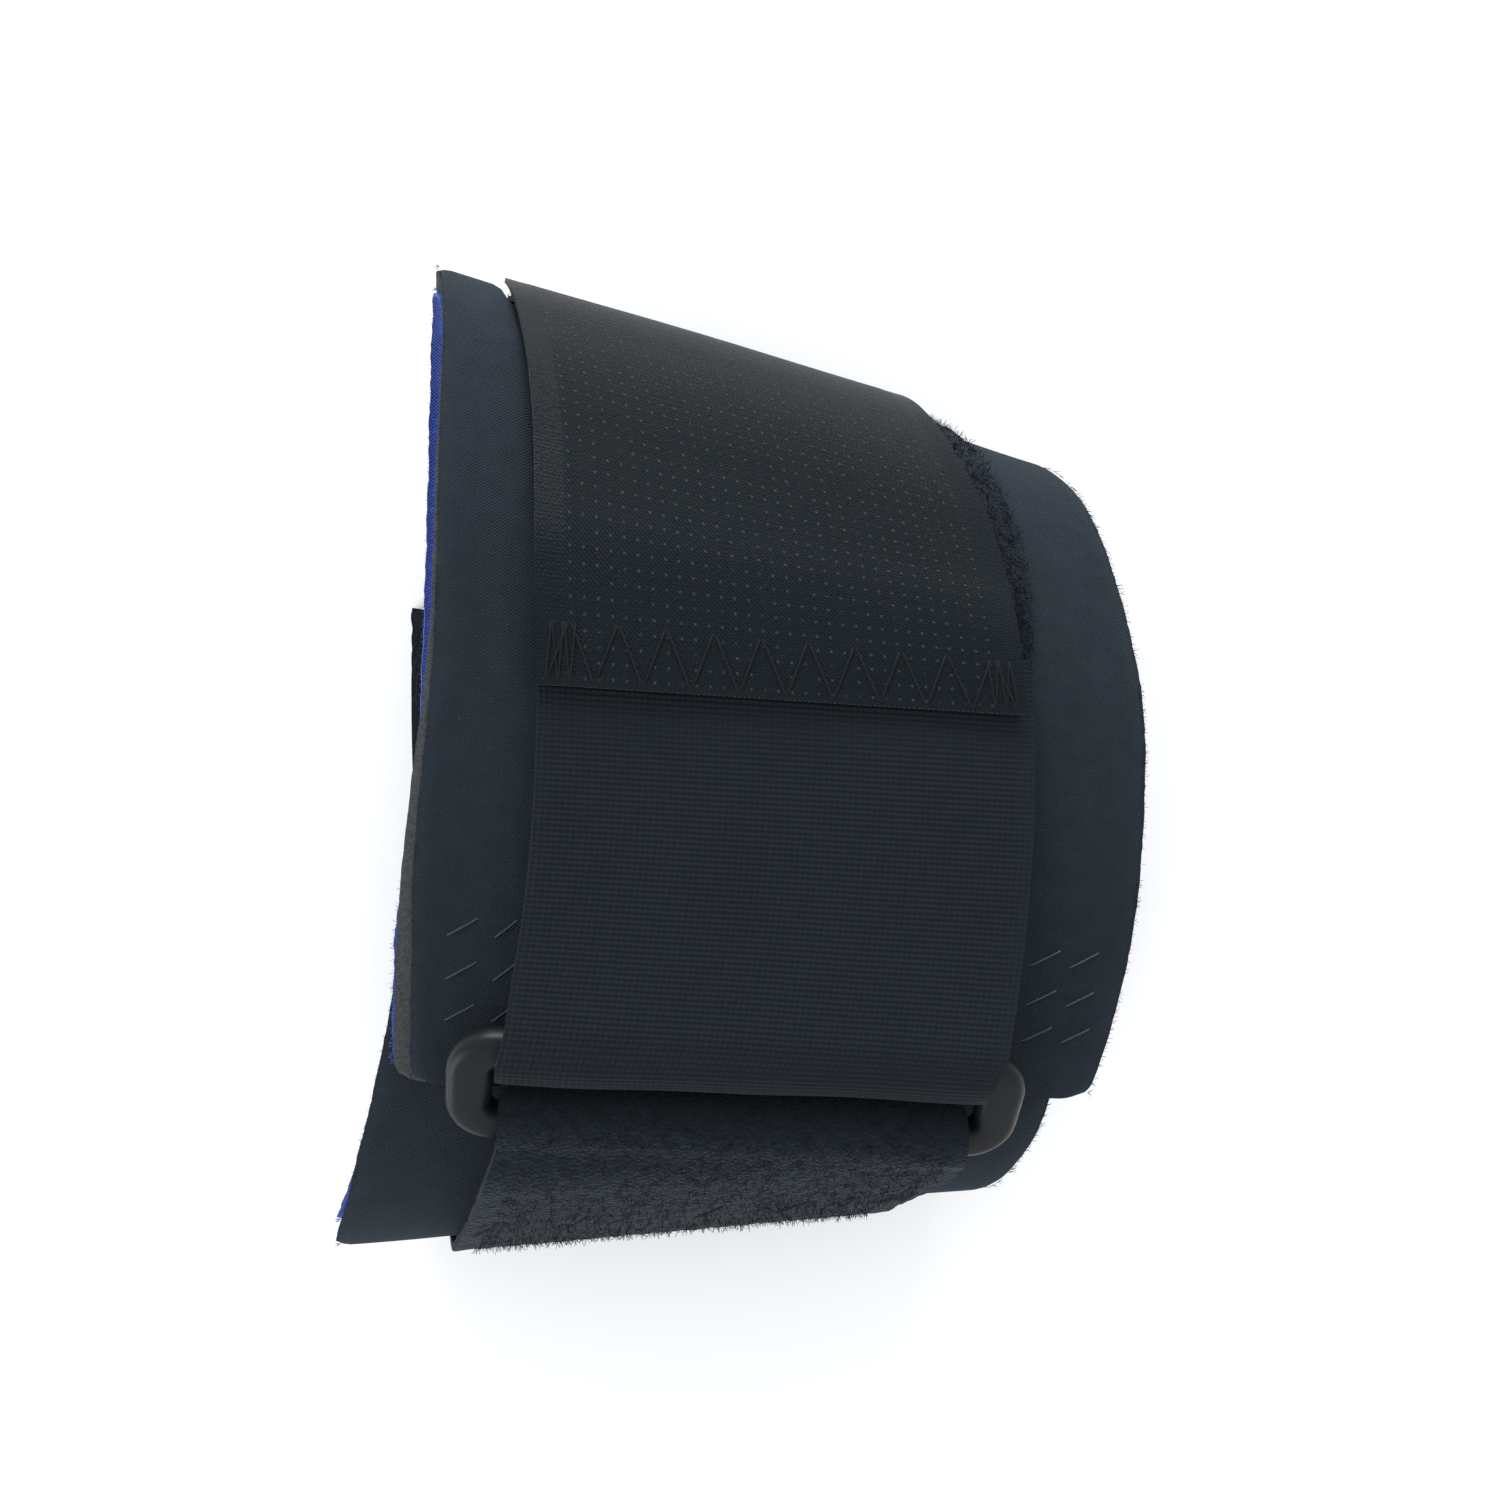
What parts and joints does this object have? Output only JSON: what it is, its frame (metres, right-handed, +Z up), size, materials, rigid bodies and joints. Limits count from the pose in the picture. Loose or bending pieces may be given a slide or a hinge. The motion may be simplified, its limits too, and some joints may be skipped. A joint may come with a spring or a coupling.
{
  "type": "wrist support brace",
  "caption": "Tapered neoprene wrist cuff closed by an elastic strap that runs through a plastic ring and doubles back to grip a pile patch with hook tape.",
  "frame": {"origin": "middle of the overall box in X and Y, on the surface that the brace rests on", "axes": "+X from the forearm end to the hand end, along the cuff; +Y across the back of the wrist, away from the ring; +Z up, from the resting underside towards the strap"},
  "size_m": [0.09, 0.1143, 0.0508],
  "materials": {
    "face_jersey": "matt knitted nylon",
    "foam": "matt closed-cell foam, cut edge",
    "blue_lining": "matt knitted nylon",
    "ring_plastic": "satin moulded",
    "elastic": "ribbed elastic webbing",
    "hook_tape": "woven nylon with a light sheen",
    "hooks": "moulded nylon hooks",
    "pile": "brushed loop pile",
    "thread": "bonded nylon thread"
  },
  "bodies": {
    "wrap": {"face_fabric": "face_jersey", "foam_core": "foam", "lining_fabric": "blue_lining", "pile_patch": "pile", "elastic_anchor": "elastic", "anchor_stitches": "thread", "webbing": "pile", "webbing_fold": "pile", "webbing_return": "pile", "webbing_stitches": "thread"},
    "ring": {"ring": "ring_plastic", "elastic_fold": "elastic"},
    "strap_front": {"elastic_strap": "elastic", "hook_tape_front": "hook_tape", "hooks_front": "hooks", "tape_stitches": "thread"},
    "strap_tail": {"hook_tape_tail": "hook_tape", "hooks_tail": "hooks"}
  },
  "joints": [
    {"name": "ring_tilt", "type": "hinge", "parent": "wrap", "child": "ring", "pos_m": [0.00091, -0.0391, 0.03928], "axis": [0.9898, -0.0707, -0.1234], "range_deg": [0, 10]},
    {"name": "strap_lift", "type": "hinge", "parent": "ring", "child": "strap_front", "pos_m": [0.00215, -0.03072, 0.0444], "axis": [0.9898, -0.0707, -0.1234], "range_deg": [0, 19.2]},
    {"name": "strap_peel", "type": "hinge", "parent": "strap_front", "child": "strap_tail", "pos_m": [0.0028, 0.0382, 0.0358], "axis": [0.9584, -0.2708, -0.0905], "range_deg": [0, 120]}
  ],
  "couplings": [
    {"joint": "ring_tilt", "follows": "strap_lift", "ratio": 0.5},
    {"joint": "strap_peel", "follows": "strap_lift", "ratio": 6.25}
  ]
}
